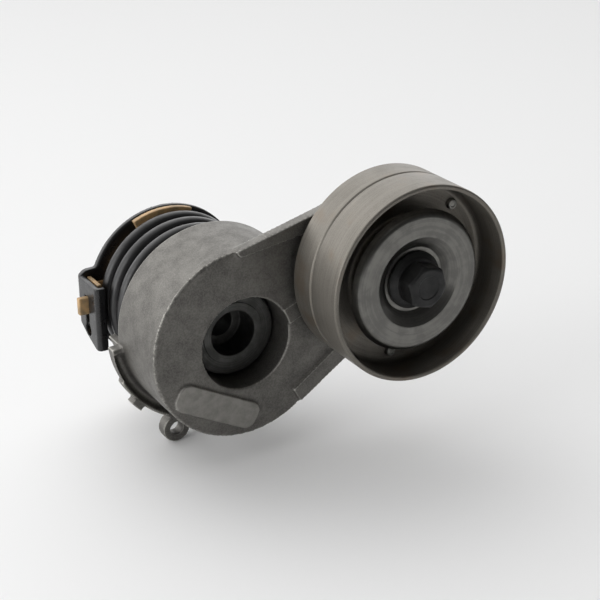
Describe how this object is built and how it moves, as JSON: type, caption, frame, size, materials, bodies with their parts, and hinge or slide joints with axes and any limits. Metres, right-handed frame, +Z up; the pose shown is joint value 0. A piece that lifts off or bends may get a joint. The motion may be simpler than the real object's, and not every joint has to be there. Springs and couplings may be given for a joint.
{
  "type": "belt tensioner",
  "caption": "Automatic belt tensioner: cast drum arm on an open coil spring and pressed base with side bracket, carrying a smooth riveted pulley on a ball bearing.",
  "frame": {"origin": "pivot axis at the rear mounting face of the base plate", "axes": "-Y along the pivot axis towards the front, +Z up and +X right with the arm at its free stop, as it hangs on an engine"},
  "size_m": [0.1341, 0.11, 0.1092],
  "materials": {
    "e_coat": "satin black cathodic coating on pressed steel",
    "spring_steel": "black coated spring steel, slight sheen",
    "zinc_steel": "turned and zinc plated steel",
    "tan_polymer": "moulded tan polyamide",
    "bush_polymer": "moulded dark friction polymer",
    "cast_aluminium": "die-cast aluminium, lightly blasted",
    "pulley_steel": "pressed and turned steel, oiled",
    "shield_steel": "pressed steel",
    "bolt_black": "black phosphated steel",
    "bearing_steel": "ground bearing steel",
    "seal_rubber": "moulded nitrile rubber"
  },
  "bodies": {
    "base": {"base_plate": "e_coat", "locating_pin": "zinc_steel", "pivot_tube": "zinc_steel", "front_thrust_washer": "zinc_steel", "rear_thrust_ring": "bush_polymer", "spring_seat": "tan_polymer", "spring": "spring_steel"},
    "arm": {"arm_casting": "cast_aluminium", "front_pivot_bush": "bush_polymer", "rear_pivot_bush": "bush_polymer", "damping_ring": "bush_polymer", "bearing_sleeve": "zinc_steel", "bearing_inner_race": "bearing_steel", "rear_dust_shield": "shield_steel", "front_dust_shield": "shield_steel", "pulley_bolt": "bolt_black"},
    "pulley": {"pulley_front_shell": "pulley_steel", "pulley_rear_shell": "pulley_steel", "pulley_rivets": "zinc_steel", "bearing_outer_race": "bearing_steel", "front_bearing_seal": "seal_rubber", "rear_bearing_seal": "seal_rubber"},
    "ball_cage": {"bearing_cage": "bush_polymer", "bearing_balls": "bearing_steel"}
  },
  "joints": [
    {"name": "arm_swing", "type": "hinge", "parent": "base", "child": "arm", "pos_m": [0, 0, 0], "axis": [0, -1, 0], "range_deg": [0, 50], "stiffness_Nm_per_rad": 15, "springref_deg": -28.65, "deforming": ["spring"]},
    {"name": "pulley_spin", "type": "hinge", "parent": "arm", "child": "pulley", "pos_m": [0.05538, -0.087, 0.02283], "axis": [0, -1, 0], "continuous": true},
    {"name": "cage_spin", "type": "hinge", "parent": "arm", "child": "ball_cage", "pos_m": [0.05538, -0.087, 0.02283], "axis": [0, -1, 0], "continuous": true}
  ],
  "couplings": [
    {"joint": "cage_spin", "follows": "pulley_spin", "ratio": 0.617}
  ]
}
